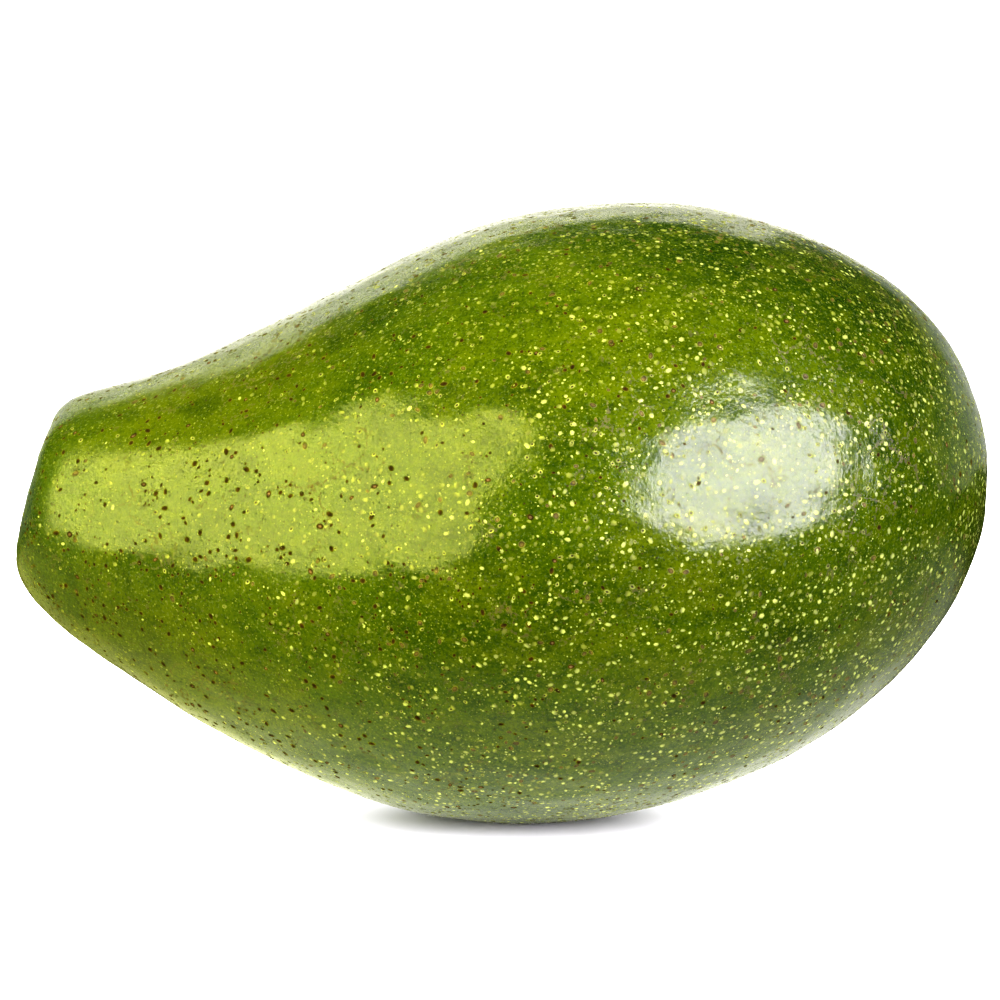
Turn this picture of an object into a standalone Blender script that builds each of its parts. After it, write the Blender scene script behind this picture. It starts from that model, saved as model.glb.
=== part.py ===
"""A smooth-skinned green avocado, lying on its side. Blender 4.5, metres, +Z up.

The whole fruit is one solid, because it grew as one piece: a broad neck that ends in a flattened
stem end with a shallow pit and a corky scar, a full round belly, and a blunt blossom end.

Frame: the origin is the centre of the small flat spot that the fruit rests on. +X runs along the
fruit towards the blossom end, +Y is the side away from the viewer, and +Z is up.
"""

import math

import bmesh
import bpy
from mathutils import Vector

MM = 0.001

# Driving dimensions. The fruit is drawn 140 mm long and scaled from there.
LENGTH = 140 * MM
DRAWN_LENGTH = 140
REST_SPOT_DIAMETER = 15 * MM

# Sections of the fruit from the stem end to the blossom end, in drawn millimetres. Each is an
# ellipse: its middle along X, Y and Z, its lean towards the blossom end in degrees, half its
# height and half its width.
STEM_END = (
    (-69.6, 1.9, 47.3, 16.0, 3.2, 3.2),  # edge of the stem scar
    (-69.3, 1.9, 47.2, 16.0, 4.9, 4.9),  # bottom of the pit round the scar
    (-71.2, 1.9, 47.8, 16.0, 9.0, 8.8),  # flat face round the pit
    (-70.2, 1.8, 47.8, 16.0, 13.0, 13.0),  # shoulder
)
BODY = (
    (-65.4, 1.5, 45.9, 15.5, 16.7, 17.0),
    (-56.6, 1.2, 43.9, 13.5, 21.1, 21.8),
    (-43.7, 0.8, 42.5, 10.5, 28.0, 28.6),
    (-29.2, 0.3, 42.4, 8.0, 35.6, 36.3),
    (-14.1, 0.0, 43.0, 6.0, 41.9, 42.7),
    (1.4, 0.0, 43.7, 4.0, 45.0, 45.8),
    (17.0, 0.0, 44.9, 2.5, 44.4, 45.3),
    (31.8, 0.3, 46.1, 1.5, 40.9, 41.9),
    (44.7, 0.8, 47.4, 0.5, 34.9, 35.7),
    (54.8, 1.4, 48.7, 0.0, 27.5, 28.1),
    (61.7, 1.9, 49.4, 0.0, 19.4, 19.7),
    (66.1, 2.3, 48.8, 0.0, 9.6, 9.6),
)
STEM_POLE = (-69.8, 1.9, 47.4)
BLOSSOM_POLE = (66.9, 2.4, 48.6)

RING_POINTS = 16
SUBDIVISIONS = 2
# A subdivided ring lies inside its cage by this factor, so the cage is drawn that much larger.
RING_PULL_IN = (2 + math.cos(2 * math.pi / RING_POINTS)) / 3

SKIN_COLOUR = (0.13, 0.21, 0.012, 1.0)
SKIN_ROUGHNESS = 0.3


def clear_scene():
    for obj in list(bpy.data.objects):
        bpy.data.objects.remove(obj, do_unlink=True)


def collection(name):
    made = bpy.data.collections.new(name)
    bpy.context.scene.collection.children.link(made)
    return made


def skin_material():
    material = bpy.data.materials.new("avocado_skin")
    material.use_nodes = True
    shader = material.node_tree.nodes["Principled BSDF"]
    shader.inputs["Base Color"].default_value = SKIN_COLOUR
    shader.inputs["Roughness"].default_value = SKIN_ROUGHNESS
    shader.inputs["Metallic"].default_value = 0.0
    return material


def section_point(section, around):
    """A point of the cage on this section. around is the angle from its top, in radians."""
    x, y, z, lean, half_height, half_width = section
    lean = math.radians(lean)
    up = Vector((math.sin(lean), 0, math.cos(lean)))
    rise = half_height / RING_PULL_IN * math.cos(around)
    side = half_width / RING_PULL_IN * math.sin(around)
    return Vector((x, y, z)) + up * rise + Vector((0, side, 0))


def fruit_mesh():
    """A sphere whose rings are moved onto the fruit's sections, as a cage to subdivide."""
    sections = STEM_END + BODY
    scale = LENGTH / DRAWN_LENGTH
    cage = bmesh.new()
    bmesh.ops.create_uvsphere(
        cage, u_segments=RING_POINTS, v_segments=len(sections) + 1, radius=1
    )
    ring_step = math.pi / (len(sections) + 1)
    for vertex in cage.verts:
        ring = round(math.acos(max(-1, min(1, vertex.co.z))) / ring_step)
        if ring == 0:
            place = Vector(STEM_POLE)
        elif ring > len(sections):
            place = Vector(BLOSSOM_POLE)
        else:
            around = math.atan2(vertex.co.x, vertex.co.y)
            place = section_point(sections[ring - 1], around)
        vertex.co = place * scale
    bmesh.ops.recalc_face_normals(cage, faces=cage.faces)
    mesh = bpy.data.meshes.new("avocado")
    cage.to_mesh(mesh)
    cage.free()
    return mesh


def add_fruit(parts):
    fruit = bpy.data.objects.new("avocado", fruit_mesh())
    fruit.data.materials.append(skin_material())
    parts.objects.link(fruit)
    rounding = fruit.modifiers.new("rounding", "SUBSURF")
    rounding.levels = SUBDIVISIONS
    rounding.render_levels = SUBDIVISIONS
    return fruit


def cut_rest_spot(fruit, cutters):
    """Flattens the underside at Z = 0, where the fruit rests."""
    size = REST_SPOT_DIAMETER * 3
    bpy.ops.mesh.primitive_cube_add(size=size, location=(0, 0, -size / 2))
    cutter = bpy.context.object
    cutter.name = "table_cutter"
    for home in list(cutter.users_collection):
        home.objects.unlink(cutter)
    cutters.objects.link(cutter)
    cutter.hide_render = True
    cutter.display_type = "WIRE"
    cut = fruit.modifiers.new("rest_spot", "BOOLEAN")
    cut.operation = "DIFFERENCE"
    cut.solver = "EXACT"
    cut.object = cutter


def main():
    clear_scene()
    parts = collection("avocado")
    cutters = collection("cutters")
    fruit = add_fruit(parts)
    cut_rest_spot(fruit, cutters)
    fruit.data.shade_smooth()


main()
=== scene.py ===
"""Looks of the smooth-skinned avocado: its skin, its lenticels, the studio and the camera.

Lengths are in metres in the frame of the CAD model: +X towards the blossom end, +Y away from the
viewer, +Z up, origin at the centre of the rest spot.
"""
import math
import random

import bpy
import numpy as np
from mathutils import Matrix, Vector, noise
from mathutils.bvhtree import BVHTree


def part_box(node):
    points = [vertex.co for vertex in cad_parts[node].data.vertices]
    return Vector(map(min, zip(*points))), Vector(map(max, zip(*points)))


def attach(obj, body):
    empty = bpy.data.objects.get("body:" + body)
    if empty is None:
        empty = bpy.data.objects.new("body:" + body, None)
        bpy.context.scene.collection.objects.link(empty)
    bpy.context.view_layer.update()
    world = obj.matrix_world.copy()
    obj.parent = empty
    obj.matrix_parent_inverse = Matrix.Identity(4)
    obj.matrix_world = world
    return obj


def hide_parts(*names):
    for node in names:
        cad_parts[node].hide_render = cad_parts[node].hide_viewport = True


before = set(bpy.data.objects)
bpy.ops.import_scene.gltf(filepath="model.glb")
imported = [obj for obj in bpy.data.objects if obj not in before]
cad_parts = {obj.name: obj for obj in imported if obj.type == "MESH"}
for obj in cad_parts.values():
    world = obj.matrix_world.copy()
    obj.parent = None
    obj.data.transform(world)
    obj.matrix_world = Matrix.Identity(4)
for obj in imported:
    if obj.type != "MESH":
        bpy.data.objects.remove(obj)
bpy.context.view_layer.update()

MM = 0.001
LOW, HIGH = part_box("avocado")
CENTRE = (LOW + HIGH) / 2

# Skin mesh
VOXEL = 0.72 * MM
SMOOTHING_STEPS = 40
BROAD_WAVE, BROAD_RISE = 10 * MM, 0.24 * MM
MIDDLING_WAVE, MIDDLING_RISE = 4 * MM, 0.12 * MM

# Skin surface
WAX_IOR = 1.38
SKIN_SHINE = 0.5
ROUGHEST = 0.78
GLOSS_GAIN = 0.65  # how much lower the roughness is where Gloss is 1
ALONG = 0.55  # colour zones are drawn out along X by 1 / ALONG
STREAK = 0.3  # streaks are drawn out along X by 1 / STREAK
NECK_X, BELLY_X = -0.055, 0.015  # from neck to belly the skin gets more mottled and speckled
STEM_SCAR = (-69.8 * MM, 1.9 * MM, 47.4 * MM)
STEM_SCAR_REACH = 5.2 * MM
BLOSSOM_SCAR = (66.9 * MM, 2.4 * MM, 48.6 * MM)
BLOSSOM_SCAR_REACH = 1.3 * MM

# Lenticels
LENTICEL_SEED = 11
PALE_COUNT = 9000
SMALL_COUNT = 11000
FINE_COUNT = 22000
RINGED_COUNT = 2300
PIT_COUNT = 2300
SPECK_COUNT = 7500
MARK_GAP = 0.95  # least distance between two marks, as a share of their radii together
MARK_CELL = 1.5 * MM
BULGE = 2.5  # how much steeper a mark is shaded than it is

# Studio. Azimuths and elevations are in degrees, sizes in metres.
TABLE_HALF = 0.4
CARD_DEPTH = 0.2 * MM
LIGHT_DISTANCE = 0.8
MATT_DISTANCE = 0.82
FRONT_ELEVATION = 17
PANEL_AZIMUTH, PANEL_WIDTH = -169, 0.74
FILL_AZIMUTH, FILL_ELEVATION, FILL_DISTANCE, FILL_SIZE, FILL_STRENGTH = 180, 50, 0.9, (1.0, 0.8), 2.5
FLOOR_LIGHT_ELEVATION, FLOOR_LIGHT_SIZE, FLOOR_LIGHT_STRENGTH = 35, (1.8, 1.0), 9.0
WORLD_DIM, WORLD_GLOW, WORLD_SEEN = 0.05, 0.5, 1.5
FLAG_SIDES = 96
FLAG_GAP = 0.1 * MM
FLAG_REACH = 0.7

# Camera
LENS, SENSOR = 150, 36
CAMERA_ELEVATION, CAMERA_DISTANCE = 8, 0.6
AIM_ABOVE_CENTRE = 1.6 * MM


# --- node helpers ---------------------------------------------------------------------------

class Nodes:
    """Short ways to add and link nodes in one node tree."""

    def __init__(self, tree):
        self.tree = tree

    def add(self, kind, **settings):
        node = self.tree.nodes.new("ShaderNode" + kind)
        for name, value in settings.items():
            setattr(node, name, value)
        return node

    def put(self, socket, value):
        if isinstance(value, bpy.types.NodeSocket):
            self.tree.links.new(value, socket)
        else:
            socket.default_value = value

    def math(self, operation, *values):
        node = self.add("Math", operation=operation)
        for socket, value in zip(node.inputs, values):
            self.put(socket, value)
        return node.outputs[0]

    def vector(self, operation, *values):
        node = self.add("VectorMath", operation=operation)
        for socket, value in zip(node.inputs, values):
            self.put(socket, value)
        return node.outputs["Value" if operation in ("DISTANCE", "LENGTH") else "Vector"]

    def times(self, a, b):
        return self.math("MULTIPLY", a, b)

    def scaled(self, value, factor, plus):
        return self.math("MULTIPLY_ADD", value, factor, plus)

    def ramp(self, value, low, high):
        """0 where value is low, 1 where it is high, smooth between and clamped outside."""
        node = self.add("MapRange", interpolation_type="SMOOTHSTEP")
        self.put(node.inputs["Value"], value)
        self.put(node.inputs["From Min"], low)
        self.put(node.inputs["From Max"], high)
        return node.outputs["Result"]

    def mix(self, factor, a, b):
        node = self.add("Mix", data_type="RGBA", blend_type="MIX")
        self.put(node.inputs[0], factor)
        self.put(node.inputs[6], a)
        self.put(node.inputs[7], b)
        return node.outputs[2]

    def noise(self, place, size, detail=2.0, roughness=0.5, offset=0.0):
        """Noise whose lumps are about size metres across, from about 0.25 to 0.75."""
        if offset:
            place = self.vector("ADD", place, (offset, offset * 0.7, offset * 1.3))
        node = self.add("TexNoise")
        self.put(node.inputs["Vector"], place)
        self.put(node.inputs["Scale"], 1 / size)
        self.put(node.inputs["Detail"], detail)
        self.put(node.inputs["Roughness"], roughness)
        return node.outputs["Fac"]

    def part(self, vector, axis):
        node = self.add("SeparateXYZ")
        self.put(node.inputs[0], vector)
        return node.outputs[axis]


# --- palette (linear colours) ----------------------------------------------------------------

MID_GREEN = (0.048, 0.086, 0.001, 1)
LEAF_GREEN = (0.068, 0.112, 0.0012, 1)
YELLOW_GREEN = (0.13, 0.16, 0.0016, 1)
DARK_GREEN = (0.02, 0.05, 0.0007, 1)
DEEP_GREEN = (0.015, 0.038, 0.0005, 1)
SPECKLE = (0.2, 0.23, 0.045, 1)
RUSSET = (0.085, 0.062, 0.014, 1)
RUSSET_DARK = (0.03, 0.014, 0.006, 1)
SCAR = (0.1, 0.06, 0.018, 1)
CORK = (0.14, 0.085, 0.035, 1)
CORK_DARK = (0.04, 0.022, 0.009, 1)

# Zones of colour: middle in millimetres, reach in millimetres, colour, and how strong.
COLOUR_ZONES = (
    ((14, -36, 72), 20, YELLOW_GREEN, 0.35),
    ((-40, -14, 62), 17, YELLOW_GREEN, 0.6),
    ((-45, -22, 28), 13, YELLOW_GREEN, 0.4),
    ((22, -43, 45), 10, YELLOW_GREEN, 0.4),
    ((38, -12, 82), 21, DARK_GREEN, 0.95),
    ((14, -12, 85), 12, DARK_GREEN, 0.4),
    ((60, -14, 62), 13, DARK_GREEN, 0.5),
    ((-5, -43, 36), 12, DARK_GREEN, 0.55),
    ((-73, -8, 46), 7, DARK_GREEN, 0.9),
    ((20, 38, 30), 20, YELLOW_GREEN, 0.5),
    ((-10, 38, 62), 18, DARK_GREEN, 0.5),
)


# --- skin colour, shared by the skin and the lenticels ---------------------------------------

def green_zones(n, along):
    """Broad colour: deep green, with yellow-green where the sun reached it."""
    broad = n.noise(along, 26 * MM, detail=2.0, offset=0.4)
    green = n.mix(n.ramp(broad, 0.38, 0.6), MID_GREEN, LEAF_GREEN)
    for where, reach, colour, share in COLOUR_ZONES:
        middle = (where[0] * ALONG * MM, where[1] * MM, where[2] * MM)
        edge = n.scaled(broad, reach * 0.8 * MM, n.vector("DISTANCE", along, middle))
        zone = n.ramp(edge, reach * 1.55 * MM, reach * 0.7 * MM)
        green = n.mix(n.times(zone, share), green, colour)
    return green


def mottled(n, green, place, along, fat):
    """Lighter and darker blotches from 8 mm down to 0.3 mm."""
    streaky = n.vector("MULTIPLY", place, (STREAK, 1.0, 1.0))
    calm_neck = n.scaled(fat, 0.35, 0.65)
    blotches = (
        # place, size, detail, offset, share of light, share of dark, strength
        (along, 8 * MM, 3.0, 0.9, 0.4, 0.5, 1.0),
        (streaky, 2.2 * MM, 3.0, 5.9, 0.35, 0.4, 1.0),
        (place, 2.4 * MM, 2.0, 2.9, 0.25, 0.4, fat),
        (place, 0.75 * MM, 3.0, 1.7, 0.5, 0.5, calm_neck),
        (place, 0.34 * MM, 1.0, 3.7, 0.35, 0.4, 1.0),
    )
    for spot_place, size, detail, offset, light_share, dark_share, strength in blotches:
        spots = n.noise(spot_place, size, detail, 0.6, offset)
        light = n.times(n.ramp(spots, 0.5, 0.7), light_share)
        green = n.mix(n.times(light, strength), green, YELLOW_GREEN)
        dark = n.times(n.ramp(spots, 0.5, 0.3), dark_share)
        green = n.mix(n.times(dark, strength), green, DEEP_GREEN)
    return green


def speckled(n, green, place, fat):
    """Fine pale speckle between the lenticels, in clumps, denser towards the blossom end."""
    clumps = n.noise(place, 5 * MM, detail=1.0, offset=8.8)
    wanted = n.times(n.scaled(fat, 0.45, 0.15), n.ramp(clumps, 0.3, 0.6))
    for size, least, offset in ((0.85 * MM, 0.1, 0.0), (0.62 * MM, 0.09, 0.0203)):
        cells = n.add("TexVoronoi", voronoi_dimensions="3D", feature="F1")
        n.put(cells.inputs["Vector"], n.vector("ADD", place, (offset, offset, offset)))
        n.put(cells.inputs["Scale"], 1 / size)
        draw = n.add("SeparateColor")
        n.put(draw.inputs[0], cells.outputs["Color"])
        wide = n.scaled(draw.outputs[0], 0.12, least)
        speck = n.ramp(n.math("DIVIDE", cells.outputs["Distance"], wide), 1.0, 0.45)
        chosen = n.math("LESS_THAN", draw.outputs[1], wanted)
        green = n.mix(n.times(n.times(speck, chosen), 0.75), green, SPECKLE)
    return green


def smudged(n, colour, place, crumbs, grain):
    """Russet smudges, corky and broken up by the grain. Also returns where they are."""
    patches = n.noise(place, 3.2 * MM, detail=3.0, roughness=0.65, offset=2.3)
    smudge = n.times(n.ramp(patches, 0.6, 0.67), grain)
    russet = n.mix(n.ramp(crumbs, 0.5, 0.62), RUSSET_DARK, RUSSET)
    return n.mix(n.times(smudge, 0.5), colour, russet), smudge


def scarred(n, colour, place, grain):
    """Webs of fine healed scars, on a few patches only. Also returns where they are."""
    warp = n.add("TexNoise", noise_dimensions="3D")
    n.put(warp.inputs["Vector"], place)
    n.put(warp.inputs["Scale"], 1 / (4 * MM))
    bent = n.vector("MULTIPLY_ADD", warp.outputs["Color"], (4 * MM, 4 * MM, 4 * MM), place)
    web = n.add("TexVoronoi", feature="DISTANCE_TO_EDGE")
    n.put(web.inputs["Vector"], bent)
    n.put(web.inputs["Scale"], 1 / (6 * MM))
    line = n.ramp(web.outputs["Distance"], 0.05, 0.01)
    where = n.ramp(n.noise(place, 15 * MM, detail=1.0, offset=4.2), 0.54, 0.64)
    scar = n.times(n.times(line, where), grain)
    return n.mix(n.times(scar, 0.5), colour, SCAR), scar


def end_scarred(n, colour, place, cork):
    """A corky scar at each end, with russeted, duller skin round it. Also returns all the cork."""
    crust = n.noise(place, 0.9 * MM, detail=3.0, roughness=0.65, offset=1.1)
    bark = n.mix(n.ramp(crust, 0.38, 0.6), CORK_DARK, CORK)
    for end, reach in ((STEM_SCAR, STEM_SCAR_REACH), (BLOSSOM_SCAR, BLOSSOM_SCAR_REACH)):
        ragged = n.scaled(crust, reach * 0.5, n.vector("DISTANCE", place, end))
        collar = n.times(n.ramp(ragged, reach * 2.3, reach * 1.2), 0.45)
        colour = n.mix(collar, colour, RUSSET)
        colour = n.mix(n.ramp(ragged, reach * 1.35, reach * 1.15), colour, bark)
        cork = n.math("MAXIMUM", cork, n.ramp(ragged, reach * 2.9, reach * 1.6))
    return colour, cork


def pebbling(n, place, x):
    """Height of the fine relief in metres, stronger towards the blossom end."""
    pebble = n.noise(place, 1.3 * MM, detail=3.0, roughness=0.6, offset=5.5)
    fine = n.noise(place, 0.45 * MM, detail=2.0, roughness=0.6, offset=6.1)
    relief = n.math("ADD", n.times(pebble, 0.055 * MM), n.times(fine, 0.015 * MM))
    return n.times(relief, n.scaled(n.ramp(x, -0.025, 0.015), 0.35, 0.75))


def waxiness(n, place, x, cork):
    """Gloss from 0 to 1: duller near the stem end, in pores and on cork."""
    stem = n.scaled(n.noise(place, 6 * MM, offset=7.7), 0.03, x)
    wax = n.scaled(n.ramp(stem, -0.058, -0.025), 0.15, 0.85)
    pores = n.ramp(n.noise(place, 0.42 * MM, detail=2.0, offset=9.4), 0.52, 0.7)
    gloss = n.times(wax, n.math("SUBTRACT", 1.0, n.times(pores, 0.4)))
    return n.times(gloss, n.math("SUBTRACT", 1.0, n.times(cork, 0.8)))


def skin_group():
    """Node group with the skin's Colour, Gloss (0 to 1) and Height in metres."""
    group = bpy.data.node_groups.new("avocado_skin_surface", "ShaderNodeTree")
    for name, kind in (
        ("Colour", "NodeSocketColor"),
        ("Gloss", "NodeSocketFloat"),
        ("Height", "NodeSocketFloat"),
    ):
        group.interface.new_socket(name, in_out="OUTPUT", socket_type=kind)
    n = Nodes(group)
    out = group.nodes.new("NodeGroupOutput")
    place = n.add("TexCoord").outputs["Object"]
    x = n.part(place, "X")
    along = n.vector("MULTIPLY", place, (ALONG, 1.0, 1.0))
    fat = n.ramp(x, NECK_X, BELLY_X)
    crumbs = n.noise(place, 0.45 * MM, detail=2.0, offset=3.1)
    grain = n.ramp(crumbs, 0.44, 0.58)

    colour = green_zones(n, along)
    colour = mottled(n, colour, place, along, fat)
    colour = speckled(n, colour, place, fat)
    colour, smudge = smudged(n, colour, place, crumbs, grain)
    colour, scar = scarred(n, colour, place, grain)
    colour, cork = end_scarred(n, colour, place, n.math("MAXIMUM", smudge, scar))
    n.put(out.inputs["Colour"], colour)
    n.put(out.inputs["Gloss"], waxiness(n, place, x, cork))
    n.put(out.inputs["Height"], pebbling(n, place, x))
    return group


def skin_shader(name, surface, painted=False, dullness=0.0, shine=SKIN_SHINE):
    """Material of the skin. A painted one is tinted by the mesh's "tint" attribute.

    The attribute's alpha says how much it covers, and there the gloss is lower by dullness.
    """
    material = bpy.data.materials.new(name)
    material.use_nodes = True
    n = Nodes(material.node_tree)
    shader = material.node_tree.nodes["Principled BSDF"]
    skin = n.add("Group", node_tree=surface)
    colour, gloss = skin.outputs["Colour"], skin.outputs["Gloss"]
    if painted:
        tint = n.add("Attribute", attribute_name="tint")
        colour = n.mix(tint.outputs["Alpha"], colour, tint.outputs["Color"])
        dull = n.times(tint.outputs["Alpha"], dullness)
        gloss = n.times(gloss, n.math("SUBTRACT", 1.0, dull))
    n.put(shader.inputs["Base Color"], colour)
    n.put(shader.inputs["Roughness"], n.scaled(gloss, -GLOSS_GAIN, ROUGHEST))
    bump = n.add("Bump")
    n.put(bump.inputs["Height"], skin.outputs["Height"])
    n.put(bump.inputs["Distance"], 1.0)
    n.put(bump.inputs["Strength"], 1.0)
    n.put(shader.inputs["Normal"], bump.outputs[0])
    shader.inputs["IOR"].default_value = WAX_IOR
    shader.inputs["Specular IOR Level"].default_value = shine
    return material


# --- skin mesh ------------------------------------------------------------------------------

def read_vectors(mesh, what):
    """The vertices' places ("co") or normals ("normal") as rows of an array."""
    values = np.empty(len(mesh.vertices) * 3, np.float32)
    mesh.vertices.foreach_get(what, values)
    return values.reshape(-1, 3).astype(float)


def add_object(name, data):
    made = bpy.data.objects.new(name, data)
    bpy.context.scene.collection.objects.link(made)
    return made


def remeshed_skin():
    """The CAD solid of the fruit as an even, smoothed mesh."""
    draft = add_object("skin_draft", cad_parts["avocado"].data.copy())
    remesh = draft.modifiers.new("remesh", "REMESH")
    remesh.mode = "VOXEL"
    remesh.voxel_size = VOXEL
    smooth = draft.modifiers.new("smooth", "SMOOTH")
    smooth.factor = 0.5
    smooth.iterations = SMOOTHING_STEPS
    graph = bpy.context.evaluated_depsgraph_get()
    mesh = bpy.data.meshes.new_from_object(draft.evaluated_get(graph))
    mesh.name = "skin"
    bpy.data.objects.remove(draft)
    return mesh


def unevenness(point):
    """How far the skin stands proud here, in metres: broad and middling waves, drawn out along X."""
    along = Vector((point.x * 0.6, point.y, point.z))
    broad = noise.noise(along / BROAD_WAVE) * BROAD_RISE
    middling = noise.noise(along / MIDDLING_WAVE + Vector((7, 3, 5))) * MIDDLING_RISE
    return broad + middling


def make_skin(surface):
    """The fruit's outside: the remeshed solid with its unevenness."""
    mesh = remeshed_skin()
    points, normals = read_vectors(mesh, "co"), read_vectors(mesh, "normal")
    lift = np.array([unevenness(Vector(p)) for p in points])
    moved = points + normals * lift[:, None]
    mesh.vertices.foreach_set("co", moved.astype(np.float32).ravel())
    mesh.materials.clear()
    mesh.materials.append(skin_shader("avocado_skin", surface))
    mesh.shade_smooth()
    mesh.update()
    return add_object("skin", mesh)


# --- lenticels ------------------------------------------------------------------------------

# Colours are linear. Each kind of mark has rings from its middle to its edge, each with its share
# of the radius, its height as a share of the radius, its colour, and its cover, which is how much
# of the skin's own colour it hides.
PALE = (0.2, 0.22, 0.03)
CREAM = (0.42, 0.46, 0.13)
TAN = (0.12, 0.085, 0.015)
DARK_BROWN = (0.022, 0.012, 0.001)
RED_BROWN = (0.05, 0.028, 0.002)
PINKISH = (0.2, 0.12, 0.06)
SHADE = (0.012, 0.028, 0.0006)
BROWN = (0.05, 0.035, 0.002)
HALO = (0.17, 0.17, 0.01)
RING = (0.3, 0.33, 0.055)
KINDS = {
    "pale": ((0.0, 0.05, PALE, 1.0), (0.45, 0.04, PALE, 0.85), (1.0, -0.02, PALE, 0.0)),
    "cream": ((0.0, 0.06, CREAM, 1.0), (0.45, 0.045, CREAM, 0.95), (1.0, -0.02, HALO, 0.0)),
    "small": ((0.0, 0.05, PALE, 1.0), (0.5, 0.04, PALE, 0.85), (1.0, -0.02, PALE, 0.0)),
    "bright": ((0.0, 0.05, CREAM, 1.0), (0.5, 0.04, CREAM, 0.9), (1.0, -0.02, HALO, 0.0)),
    "fine": ((0.0, 0.05, PALE, 1.0), (1.0, -0.02, PALE, 0.0)),
    "ringed": (
        (0.0, 0.01, DARK_BROWN, 1.0), (0.22, 0.02, DARK_BROWN, 0.95), (0.48, 0.05, RING, 1.0),
        (0.7, 0.03, PALE, 0.75), (1.0, -0.02, HALO, 0.0),
    ),
    "crowned": (
        (0.0, 0.03, TAN, 0.9), (0.3, 0.04, TAN, 0.95), (0.5, 0.05, RED_BROWN, 1.0),
        (0.75, 0.03, HALO, 0.6), (1.0, -0.02, HALO, 0.0),
    ),
    "pit": (
        (0.0, 0.01, DARK_BROWN, 1.0), (0.4, 0.02, RED_BROWN, 1.0), (0.62, 0.04, RED_BROWN, 0.85),
        (0.8, 0.03, HALO, 0.45), (1.0, -0.02, HALO, 0.0),
    ),
    "open": (
        (0.0, 0.01, PINKISH, 0.95), (0.3, 0.02, PINKISH, 0.9), (0.46, 0.05, RED_BROWN, 1.0),
        (0.7, 0.03, RED_BROWN, 0.9), (1.0, -0.02, HALO, 0.0),
    ),
    "speck": ((0.0, 0.01, SHADE, 0.9), (0.6, 0.01, SHADE, 0.8), (1.0, -0.02, SHADE, 0.0)),
    "fleck": ((0.0, 0.01, DARK_BROWN, 0.9), (0.6, 0.01, BROWN, 0.85), (1.0, -0.02, BROWN, 0.0)),
}


class Scatter:
    """Seeded places on the skin, spread by area."""

    def __init__(self, skin, seed):
        self.draw = random.Random(seed)
        mesh = skin.data
        self.tree = BVHTree.FromObject(skin, bpy.context.evaluated_depsgraph_get())
        points = read_vectors(mesh, "co")
        mesh.calc_loop_triangles()
        corners = np.empty(len(mesh.loop_triangles) * 3, np.int32)
        mesh.loop_triangles.foreach_get("vertices", corners)
        self.triangles = points[corners.reshape(-1, 3)]
        a, b, c = self.triangles[:, 0], self.triangles[:, 1], self.triangles[:, 2]
        areas = np.linalg.norm(np.cross(b - a, c - a), axis=1) / 2
        self.sums = np.cumsum(areas)

    def place(self):
        pick = self.draw.random() * self.sums[-1]
        a, b, c = self.triangles[int(np.searchsorted(self.sums, pick))]
        u, v = self.draw.random(), self.draw.random()
        if u + v > 1:
            u, v = 1 - u, 1 - v
        return Vector(a + (b - a) * u + (c - a) * v)


def scatter_marks(scatter, count, density, choose):
    """Lists (place, radius, kind), with no two marks closer than MARK_GAP allows."""
    grid = {}
    marks = []
    tries = 0
    while len(marks) < count and tries < count * 40:
        tries += 1
        point = scatter.place()
        if scatter.draw.random() > density(point):
            continue
        kind, radius = choose(point, scatter.draw)
        key = tuple(int(math.floor(c / MARK_CELL)) for c in point)
        near = (
            other
            for i in (-1, 0, 1) for j in (-1, 0, 1) for k in (-1, 0, 1)
            for other in grid.get((key[0] + i, key[1] + j, key[2] + k), ())
        )
        if any((point - other[0]).length < (radius + other[1]) * MARK_GAP for other in near):
            continue
        grid.setdefault(key, []).append((point, radius))
        marks.append((point, radius, kind))
    return marks


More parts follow.
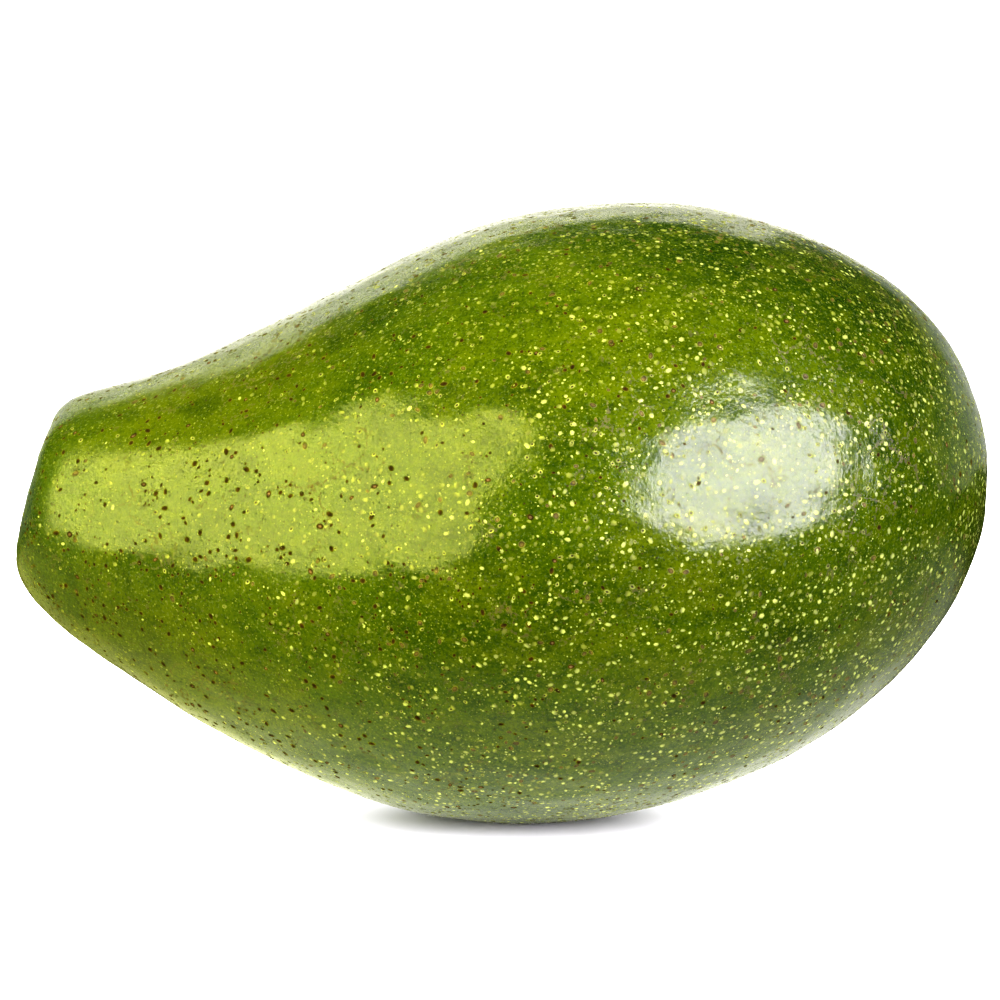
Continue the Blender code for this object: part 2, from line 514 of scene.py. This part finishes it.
class MarkMesh:
    """Closed low domes that follow the skin, coloured ring by ring, in one mesh."""

    def __init__(self, scatter, sides):
        self.tree = scatter.tree
        self.draw = scatter.draw
        self.sides = sides
        self.vertices, self.faces, self.tints, self.normals = [], [], [], []

    def add(self, point, radius, kind):
        stops = KINDS[kind]
        draw = self.draw
        near, normal, _, _ = self.tree.find_nearest(point)
        turn = draw.random() * math.tau
        stretch = 1 + draw.random() * 0.4
        squeeze = 1 / stretch ** 0.5
        shade = 0.7 + draw.random() * 0.6
        # Painted light and shade on the mark: the side painted lighter, and how much lighter and darker.
        painted_lit_side = draw.random() * math.tau
        painted_side_shade = draw.random() * 0.6
        shift = (draw.random() - 0.5) * 0.3 * radius
        side = normal.orthogonal().normalized()
        side.rotate(Matrix.Rotation(turn, 3, normal))
        other = normal.cross(side)
        first = len(self.vertices)
        middle = near + side * shift + normal * (stops[0][1] * radius)
        self.put(middle, stops[0][2], shade, stops[0][3], normal)
        for k in range(1, len(stops)):
            share, height, colour, cover = stops[k]
            last = k == len(stops) - 1
            slope = (stops[k - 1][1] - height) / (share - stops[k - 1][0]) * BULGE
            centre = near + side * (shift * (1 - share))
            for i in range(self.sides):
                angle = math.tau * i / self.sides
                wobble = 1 + (draw.random() - 0.5) * 0.3
                reach = radius * share * wobble
                away = side * (math.cos(angle) * stretch) + other * (math.sin(angle) * squeeze)
                spot, up, _, _ = self.tree.find_nearest(centre + away * reach)
                # Painted light and shade: each mark's tint is lighter towards its lit side and darker
                # across from it, with the side turned at random, on top of its random tone.
                tone_and_painted_shade = shade * (1 + painted_side_shade * math.cos(angle - painted_lit_side))
                tilt = away.normalized() * (0.0 if last else slope)
                self.put(spot + up * (height * radius), colour, tone_and_painted_shade, cover, up + tilt)
        self.close(first, len(stops) - 1)

    def put(self, place, colour, tone_and_painted_shade, cover, normal):
        self.vertices.append(place)
        self.tints.append((*(c * tone_and_painted_shade for c in colour), cover))
        self.normals.append(normal.normalized())

    def close(self, first, rings):
        """Faces between the middle and the rings, and one underneath."""
        sides = self.sides
        for i in range(sides):
            j = (i + 1) % sides
            self.faces.append((first, first + 1 + i, first + 1 + j))
            for ring in range(rings - 1):
                a = first + 1 + ring * sides
                self.faces.append((a + i, a + sides + i, a + sides + j, a + j))
        edge = first + 1 + (rings - 1) * sides
        self.faces.append(tuple(edge + i for i in reversed(range(sides))))

    def finish(self, name, material):
        mesh = bpy.data.meshes.new(name)
        mesh.from_pydata(self.vertices, [], self.faces)
        tint = mesh.color_attributes.new("tint", "FLOAT_COLOR", "POINT")
        tint.data.foreach_set("color", np.array(self.tints, np.float32).ravel())
        mesh.shade_smooth()
        mesh.normals_split_custom_set_from_vertices(self.normals)
        mesh.materials.append(material)
        return add_object(name, mesh)


# Where each kind of mark is dense, from 0 to 1, and how a mark is chosen at a place.

def clamped(value, low=0.0, high=1.0):
    return max(low, min(high, value))


def fatness(point):
    """0 on the neck, 1 on the belly and beyond."""
    return clamped((point.x / MM + 45) / 60)


def creaminess(point):
    """0 at the top of the neck, 1 low on the blossom end, where the lenticels are palest."""
    raised = (point.z - CENTRE.z) / CENTRE.z
    return clamped(0.42 + 0.6 * point.x / HIGH.x - 0.5 * raised)


def clumping(point):
    return noise.noise(point / (5 * MM) + Vector((1, 8, 2)))


def pale_density(point):
    wanted = (0.3 + 0.5 * fatness(point)) * (0.8 + 0.45 * creaminess(point))
    return wanted * clamped(0.6 + 1.2 * clumping(point))


def choose_pale(point, draw):
    kind = "cream" if draw.random() < 0.08 + 0.8 * creaminess(point) else "pale"
    radius = (0.22 + 0.3 * draw.random() ** 2) * (0.95 + 0.2 * fatness(point)) * MM
    return kind, radius


def small_density(point):
    return (0.3 + 0.6 * fatness(point)) * clamped(0.6 + 1.4 * clumping(point * 0.8))


def choose_small(point, draw):
    kind = "bright" if draw.random() < 0.7 * creaminess(point) - 0.1 else "small"
    return kind, (0.11 + 0.11 * draw.random()) * MM


def fine_density(point):
    return (0.5 + 0.5 * creaminess(point)) * clamped(0.6 + 1.2 * clumping(point * 1.5), 0.1)


def choose_fine(point, draw):
    return "fine", (0.13 + 0.1 * draw.random()) * MM


def ringed_density(point):
    return (0.1 + 0.8 * fatness(point)) * max(0.1, 0.6 + clumping(point * 1.3))


def choose_ringed(point, draw):
    if draw.random() < 0.55:
        return "ringed", (0.3 + 0.2 * draw.random()) * MM
    return "crowned", (0.34 + 0.3 * draw.random() ** 1.5) * MM


def pit_density(point):
    return (1.0 - 0.84 * fatness(point)) * max(0.15, 0.65 + clumping(point * 1.7))


def choose_pit(point, draw):
    if draw.random() < 0.08:
        return "open", (0.36 + 0.22 * draw.random()) * MM
    return "pit", (0.23 + 0.32 * draw.random() ** 1.8) * MM


def speck_density(point):
    return (1.0 - 0.75 * fatness(point)) * max(0.2, 0.6 + clumping(point * 2.1))


def choose_speck(point, draw):
    kind = "fleck" if draw.random() < 0.45 else "speck"
    return kind, (0.11 + 0.14 * draw.random()) * MM


# Pieces of marks: name, count, density, choice, sides, dullness and shine.
MARK_PIECES = (
    ("dark_pits", PIT_COUNT, pit_density, choose_pit, 8, 0.9, 0.08),
    ("ringed_lenticels", RINGED_COUNT, ringed_density, choose_ringed, 8, 0.6, 0.4),
    ("dark_specks", SPECK_COUNT, speck_density, choose_speck, 5, 0.5, 0.25),
    ("pale_lenticels", PALE_COUNT, pale_density, choose_pale, 6, 0.4, SKIN_SHINE),
    ("small_lenticels", SMALL_COUNT, small_density, choose_small, 5, 0.4, SKIN_SHINE),
    ("fine_lenticels", FINE_COUNT, fine_density, choose_fine, 5, 0.3, SKIN_SHINE),
)


# --- studio ---------------------------------------------------------------------------------

WHITE = (1.0, 1.0, 1.0)
FLOOR_COLOUR = (0.86, 0.825, 0.95, 1)
BLACK = (0, 0, 0, 1)
PANEL_COLOUR = (1.0, 0.95, 0.85)
# Colours of the card's painted floor light: white, and yellow where the warm softbox would light the
# floor.
CARD_WHITE = (1.0, 1.0, 0.9, 1)
CARD_PAINTED_WARM_LIGHT = (1.0, 0.98, 0.35, 1)

# Softboxes in front: name, azimuth, size, shape, strength and colour of its gloss, strength and
# colour of its matt light, and how many degrees higher the matt light stands.
SOFTBOXES = (
    ("softbox_left", -53, (0.86, 0.92), "RECTANGLE", 9.2, (1.0, 0.97, 0.33), 4.9, (1.0, 0.97, 0.41), 5),
    ("softbox_right", 43, (0.84, 0.74), "ELLIPSE", 15.5, (1.0, 0.94, 1.05), 6.5, WHITE, 7),
)

# Weak panels behind: name, elevation, height and strength.
BACK_PANELS = (("back_panel", 7, 0.43, 0.95), ("back_panel_top", 31, 0.22, 1.65))

# Painted pools of light in the card's glow, where the softboxes would light the floor: middle, reach and
# strength.
PAINTED_LIGHT_POOLS = (((0.13, 0.02, 0.0), 0.1, 0.45), ((-0.17, 0.03, 0.0), 0.17, 1.0))


def direction(azimuth, elevation):
    """Unit vector towards a place in the studio. Azimuth 0 is the camera's side, 90 is +X."""
    a, e = math.radians(azimuth), math.radians(elevation)
    return Vector((math.sin(a) * math.cos(e), -math.cos(a) * math.cos(e), math.sin(e)))


def turn_to_face_back(obj, away):
    """Turns a light or a camera that stands on this side of the fruit towards it."""
    obj.rotation_mode = "QUATERNION"
    obj.rotation_quaternion = away.to_track_quat("Z", "Y")


def area_light(name, azimuth, elevation, distance, size, strength, colour=WHITE, shape="RECTANGLE"):
    """An area light that faces the fruit. Its strength is the radiance of its face."""
    data = bpy.data.lights.new(name, "AREA")
    data.shape = shape
    data.size, data.size_y = size
    filled = math.pi / 4 if shape == "ELLIPSE" else 1.0
    data.energy = strength * math.pi * size[0] * size[1] * filled
    data.color = colour
    light = add_object(name, data)
    away = direction(azimuth, elevation)
    light.location = CENTRE + away * distance
    turn_to_face_back(light, away)
    return light


def hide_from(obj, *rays):
    """Hides the object from these kinds of ray."""
    for ray in rays:
        setattr(obj, f"visible_{ray}", False)


def linked(name, objects):
    """A collection of these objects, for light linking only."""
    group = bpy.data.collections.new(name)
    for obj in objects:
        group.objects.link(obj)
    return group


def light_only(light, objects):
    """Makes the light reach only these objects."""
    light.light_linking.receiver_collection = linked(f"lit_by_{light.name}", objects)


def stage_mesh(name, corners, faces, colour):
    """A plain surface of the studio, which isn't part of the object."""
    mesh = bpy.data.meshes.new(name)
    mesh.from_pydata(corners, [], faces)
    paint = bpy.data.materials.new(name)
    paint.use_nodes = True
    shader = paint.node_tree.nodes["Principled BSDF"]
    shader.inputs["Base Color"].default_value = colour
    shader.inputs["Roughness"].default_value = 0.7
    mesh.materials.append(paint)
    made = add_object(name, mesh)
    return made


def table_sheet(name, height, colour):
    reach = TABLE_HALF
    outline = ((-reach, -reach), (reach, -reach), (reach, reach), (-reach, reach))
    corners = [(x, y, height) for x, y in outline]
    return stage_mesh(name, corners, [(0, 1, 2, 3)], colour)


def make_flag(skin_tree):
    """A black flag round the fruit's widest line, which keeps the front glare off its far side."""
    inner, outer, faces = [], [], []
    for k in range(FLAG_SIDES):
        angle = math.tau * k / FLAG_SIDES
        away = Vector((math.cos(angle), 0, math.sin(angle)))
        edge, _, _, _ = skin_tree.ray_cast(CENTRE + away * 0.3, -away)
        inner.append(edge + away * FLAG_GAP)
        outer.append(CENTRE + away * FLAG_REACH)
        j = (k + 1) % FLAG_SIDES
        faces.append((k, FLAG_SIDES + k, FLAG_SIDES + j, j))
    flag = stage_mesh("flag", inner + outer, faces, BLACK)
    hide_from(flag, "camera", "diffuse", "glossy", "transmission")
    return flag


def set_blockers(pieces, flag):
    """The flag stops only the front lights' gloss. Every light is stopped by the fruit."""
    for light in [obj for obj in bpy.context.scene.objects if obj.type == "LIGHT"]:
        stopping = pieces + [flag] if light.name.endswith("_gloss") else pieces
        light.light_linking.blocker_collection = linked(f"blocks_{light.name}", stopping)


def make_softbox(name, azimuth, size, shape, glossy, sheen, matt, colour, lift, pieces):
    """A softbox for the fruit: one light for its gloss and, just behind, one for its colour."""
    gloss = area_light(
        f"{name}_gloss", azimuth, FRONT_ELEVATION, LIGHT_DISTANCE, size, glossy, sheen, shape
    )
    hide_from(gloss, "diffuse")
    light_only(gloss, pieces)
    soft = area_light(
        f"{name}_matt", azimuth, FRONT_ELEVATION + lift, MATT_DISTANCE, size, matt, colour, shape
    )
    hide_from(soft, "glossy")
    light_only(soft, pieces)


def paint_floor_light_on_card(material):
    """The card's glow, which the fruit reflects and takes light from: painted floor light, yellowish to
    the left.

    It is dark under the fruit, a painted shadow, with a bright ring close by, a faint wide pool and two
    lobes of painted light.
    """
    n = Nodes(material.node_tree)
    shader = material.node_tree.nodes["Principled BSDF"]
    place = n.add("TexCoord").outputs["Object"]
    far = n.vector("LENGTH", n.vector("MULTIPLY", place, (0.8, 1.0, 0.0)))
    ring = n.times(n.ramp(far, 0.005, 0.024), n.ramp(far, 0.085, 0.03))
    pool = n.ramp(far, 0.2, 0.08)
    glow = n.math("ADD", n.times(ring, 1.15), n.times(pool, 0.1))
    for middle, reach, strength in PAINTED_LIGHT_POOLS:
        away = n.vector("DISTANCE", place, middle)
        glow = n.math("ADD", glow, n.times(n.ramp(away, reach, 0.02), strength))
    # Painted warm light: the card turns yellow to the left, under the warm softbox.
    left = n.ramp(n.part(place, "X"), 0.0, -0.09)
    n.put(shader.inputs["Emission Color"], n.mix(left, CARD_WHITE, CARD_PAINTED_WARM_LIGHT))
    n.put(shader.inputs["Emission Strength"], glow)


def make_world():
    """White where the camera sees it, and nearly dark elsewhere, with a low glow from behind."""
    world = bpy.data.worlds.new("studio")
    world.use_nodes = True
    n = Nodes(world.node_tree)
    background = world.node_tree.nodes["Background"]
    background.inputs["Color"].default_value = (1, 1, 1, 1)
    towards = n.add("TexCoord").outputs["Generated"]
    low = n.ramp(n.math("ABSOLUTE", n.part(towards, "Z")), 0.35, 0.1)
    behind = n.ramp(n.part(towards, "Y"), 0.1, 0.5)
    glow = n.scaled(n.times(low, behind), WORLD_GLOW, WORLD_DIM)
    seen = n.times(n.add("LightPath").outputs["Is Camera Ray"], WORLD_SEEN)
    n.put(background.inputs["Strength"], n.math("MAXIMUM", seen, glow))
    bpy.context.scene.world = world


def make_studio(pieces, skin_tree):
    floor = table_sheet("floor", 0.0, FLOOR_COLOUR)
    hide_from(floor, "diffuse", "glossy", "shadow")
    # The card glows with painted floor light and a painted shadow under the fruit. The fruit reflects it
    # and takes light from it.
    card = table_sheet("card", -CARD_DEPTH, BLACK)
    hide_from(card, "camera")
    paint_floor_light_on_card(card.data.materials[0])
    for softbox in SOFTBOXES:
        make_softbox(*softbox, pieces)
    for name, elevation, height, strength in BACK_PANELS:
        size = (PANEL_WIDTH, height)
        panel = area_light(name, PANEL_AZIMUTH, elevation, LIGHT_DISTANCE, size, strength, PANEL_COLOUR)
        light_only(panel, pieces)
    fill = area_light("back_fill", FILL_AZIMUTH, FILL_ELEVATION, FILL_DISTANCE, FILL_SIZE, FILL_STRENGTH)
    hide_from(fill, "glossy")
    light_only(fill, pieces)
    for name, azimuth in (("floor_front", 15), ("floor_back", 165)):
        light = area_light(
            name, azimuth, FLOOR_LIGHT_ELEVATION, LIGHT_DISTANCE, FLOOR_LIGHT_SIZE, FLOOR_LIGHT_STRENGTH
        )
        light_only(light, [floor])
    make_world()
    set_blockers(pieces, make_flag(skin_tree))


def make_camera():
    data = bpy.data.cameras.new("camera")
    data.lens = LENS
    data.sensor_width = SENSOR
    camera = add_object("camera", data)
    away = direction(0, CAMERA_ELEVATION)
    camera.location = CENTRE + Vector((0, 0, AIM_ABOVE_CENTRE)) + away * CAMERA_DISTANCE
    turn_to_face_back(camera, away)
    bpy.context.scene.camera = camera
    settings = bpy.context.scene.view_settings
    settings.view_transform = "Standard"
    settings.look = "High Contrast"


def main():
    surface = skin_group()
    skin = make_skin(surface)
    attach(skin, "root")
    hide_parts("avocado")
    scatter = Scatter(skin, LENTICEL_SEED)
    pieces = [skin]
    for name, count, density, choose, sides, dullness, shine in MARK_PIECES:
        marks = MarkMesh(scatter, sides)
        for point, radius, kind in scatter_marks(scatter, count, density, choose):
            marks.add(point, radius, kind)
        piece = marks.finish(name, skin_shader(name, surface, True, dullness, shine))
        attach(piece, "root")
        pieces.append(piece)
    make_studio(pieces, scatter.tree)
    make_camera()


main()
